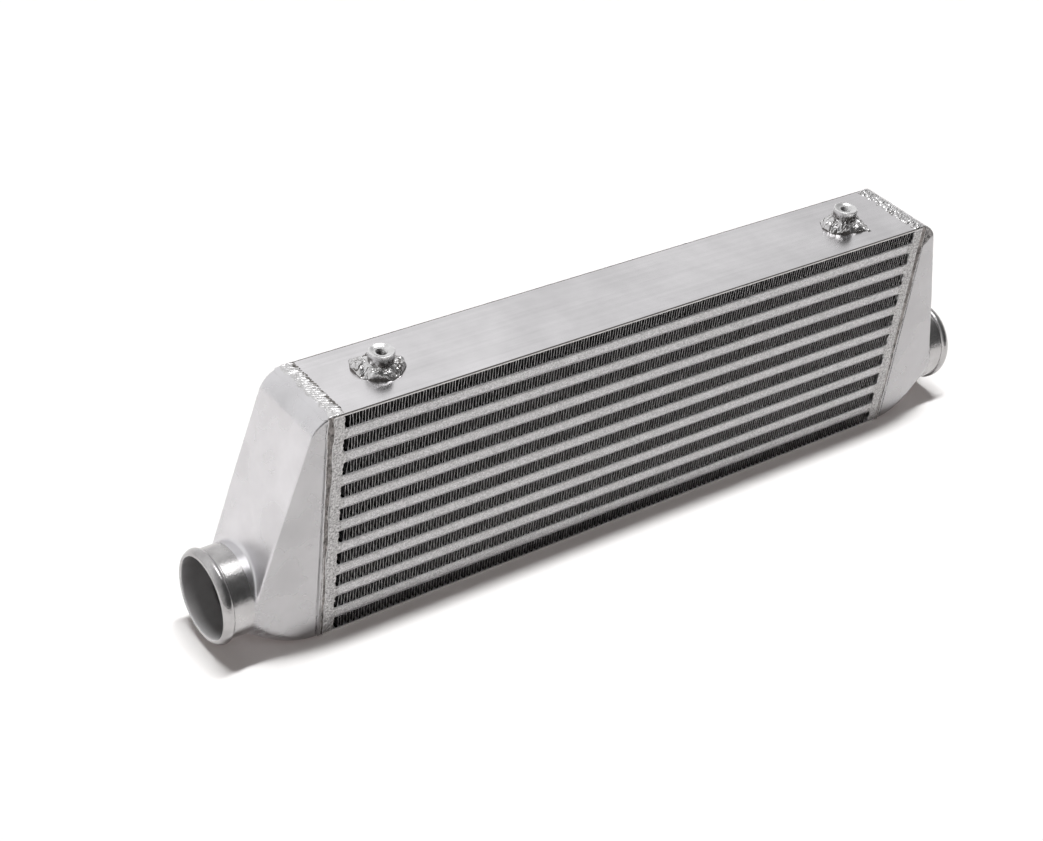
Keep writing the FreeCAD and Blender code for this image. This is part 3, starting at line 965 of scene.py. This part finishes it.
def make_world():
    """A studio that is bright behind the object and dark at the front right, with a dimmer fill for the floor."""
    world = bpy.data.worlds.new("studio")
    bpy.context.scene.world = world
    world.use_nodes = True
    graph = Graph(world.node_tree)
    background = graph.nodes["Background"]
    background.inputs["Color"].default_value = (1, 1, 1, 1)
    coordinates = graph.new("TexCoord")
    toward = graph.new("VectorMath")
    toward.operation = "DOT_PRODUCT"
    toward.inputs[1].default_value = dark_direction
    graph.feed(toward.inputs[0], coordinates.outputs["Generated"])
    ramp = graph.new("ValToRGB")
    stops = ramp.color_ramp.elements
    while len(stops) < len(room_levels):
        stops.new(0.5)
    for stop, (place, level) in zip(stops, room_levels):
        stop.position = (place + 1) / 2
        stop.color = (level, level, level, 1)
    graph.feed(ramp.inputs["Fac"], graph.remap(toward.outputs["Value"], 0, 1, -1, 1))
    over = graph.calculate("SUBTRACT", ramp.outputs["Color"], room_fill)
    graph.feed(background.inputs["Strength"], graph.calculate("MULTIPLY_ADD", over, shown_rays(graph), room_fill))


def add_lamp(light, way):
    lamp = new_object(light.name, light)
    lamp.rotation_euler = Vector(way).to_track_quat("-Z", "Y").to_euler()
    return lamp


def add_strip_light(slopes, lean, strength, angle):
    """A long overhead strip, as a row of suns with different slopes, for the floor's shadow alone."""
    for number, slope in enumerate(slopes):
        light = bpy.data.lights.new("strip_%d" % number, "SUN")
        light.energy = strength / len(slopes)
        light.angle = math.radians(angle)
        add_lamp(light, (slope, lean, -1)).visible_glossy = False


def add_softbox(name, location, target, width, depth, radiance):
    """A bright panel that only the metal mirrors."""
    light = bpy.data.lights.new(name, "AREA")
    light.shape = "RECTANGLE"
    light.size = width
    light.size_y = depth
    light.energy = radiance * math.pi * width * depth
    lamp = add_lamp(light, Vector(target) - Vector(location))
    lamp.location = location
    lamp.visible_diffuse = False


def make_camera():
    """The photograph's viewpoint, solved from the core's corners and the spigots."""
    camera = bpy.data.cameras.new("camera")
    camera.sensor_width = 36
    camera.lens = camera.sensor_width * focal_pixels / photo_width
    view = new_object("camera", camera)
    forward = Vector(camera_forward).normalized()
    right = Vector(camera_right)
    right = (right - forward * right.dot(forward)).normalized()
    up = right.cross(forward)
    view.matrix_world = Matrix.Translation(camera_place) @ Matrix((right, up, -forward)).transposed().to_4x4()
    bpy.context.scene.camera = view


# Camera and light values
photo_width = 1043
focal_pixels = 1956.28
camera_place = Vector((-0.80212, -0.84859, 0.88670))
camera_forward = (0.526963, 0.621997, -0.579163)
camera_right = (0.803645, -0.586399, 0.101445)
floor_lift = 0.05
dark_direction = (0.40, -0.85, 0.33)
room_levels = [(-1.0, 0.90), (-0.2, 0.97), (-0.03, 0.74), (0.08, 0.60), (0.35, 0.50), (0.75, 0.15), (1.0, 0.09)]
room_fill = 0.13
sun_strength = 3.0

bpy.context.scene.view_settings.view_transform = "Standard"

cast = cast_aluminium()
turned = turned_aluminium()
bore = bore_aluminium()
top_plate = plate_aluminium("plate_aluminium", (0.42, 0.41, 0.405), (0.66, 0.65, 0.645), core_height - 0.7 * mm, 0.0)
# The bottom plate's pale edge colours are partly painted light, keeping its edge bright where it lies in the floor's
# shadow.
bottom_plate = plate_aluminium("bottom_plate_aluminium", (0.82, 0.81, 0.80), (0.95, 0.94, 0.93), core_height, 0.35)
bar = bar_aluminium("bar_aluminium", (0.25, 0.245, 0.248), (0.74, 0.73, 0.738), 950)
smeared = bar_aluminium("smeared_aluminium", (0.11, 0.106, 0.103), (0.74, 0.73, 0.73), 620)
# The fin faces' near-black colours are painted shade, standing for the shade in the gaps between the fins.
fin = fin_aluminium("fin_aluminium", 400, 3, (0.018, 0.0172, 0.0175), (0.046, 0.0445, 0.045), 0.42, 0.6)
fin_edge = fin_aluminium("fin_edge_aluminium", 300, 2, (0.38, 0.37, 0.372), (0.82, 0.80, 0.805), 0.35, 0.5)
weld = weld_aluminium("weld_aluminium", 0.28, 0.42)
bright_weld = weld_aluminium("bright_weld_aluminium", 0.15, 0.28)
groove = stain_and_shade_metal("groove_metal", (0.04, 0.036, 0.034), (0.46, 0.43, 0.415))
# This dark metal is painted shade for the welds' undercut and for the puddles' creases and toe.
crease_shade = stain_and_shade_metal("sooted_metal", (0.05, 0.046, 0.043), (0.30, 0.28, 0.265))
boss = boss_aluminium()

slot_materials = {"side_plate": top_plate, "core_bar": bar, "fin": fin, "cast_tank": cast, "weld": weld, "boss": boss}
slot_of_node = {entry["node"]: entry["material_slot"] for entry in frame["record"]["subparts"]}
for node, thing in frame["nodes"].items():
    thing.data.materials.clear()
    thing.data.materials.append(bottom_plate if node == "bottom_plate" else slot_materials[slot_of_node[node]])

for side in (1, -1):
    end_tank(side, [cast, turned, bore])
    tank_weld(side, [bright_weld if side > 0 else weld, groove, crease_shade, cast], 3.1 + side, 1.3 if side > 0 else 0.35)
    threaded_boss(side, [boss])
for row in range(1, tube_count + 2):
    ambient_fins(row, [fin, fin_edge])
    for side in (1, -1):
        end_bar(side, row, [bar])
for row in range(1, tube_count + 1):
    charge_passage(row, [bar])
for side in (1, -1):
    for face in (1, -1):
        end_skin(side, face, [smeared])
boss_puddle(-1, [bright_weld, crease_shade], left_puddle, left_dabs, 2.6)
boss_puddle(1, [bright_weld, crease_shade], right_puddle, right_dabs, 7.9)

make_floor()
make_world()
add_strip_light((-0.17, -0.10, -0.03, 0.04, 0.11, 0.18), -0.08, sun_strength, 4.5)
add_softbox("overhead", (0.2, 0.0, 1.35), (0.0, 0.0, 0.1), 0.6, 0.8, 3.8)
make_camera()
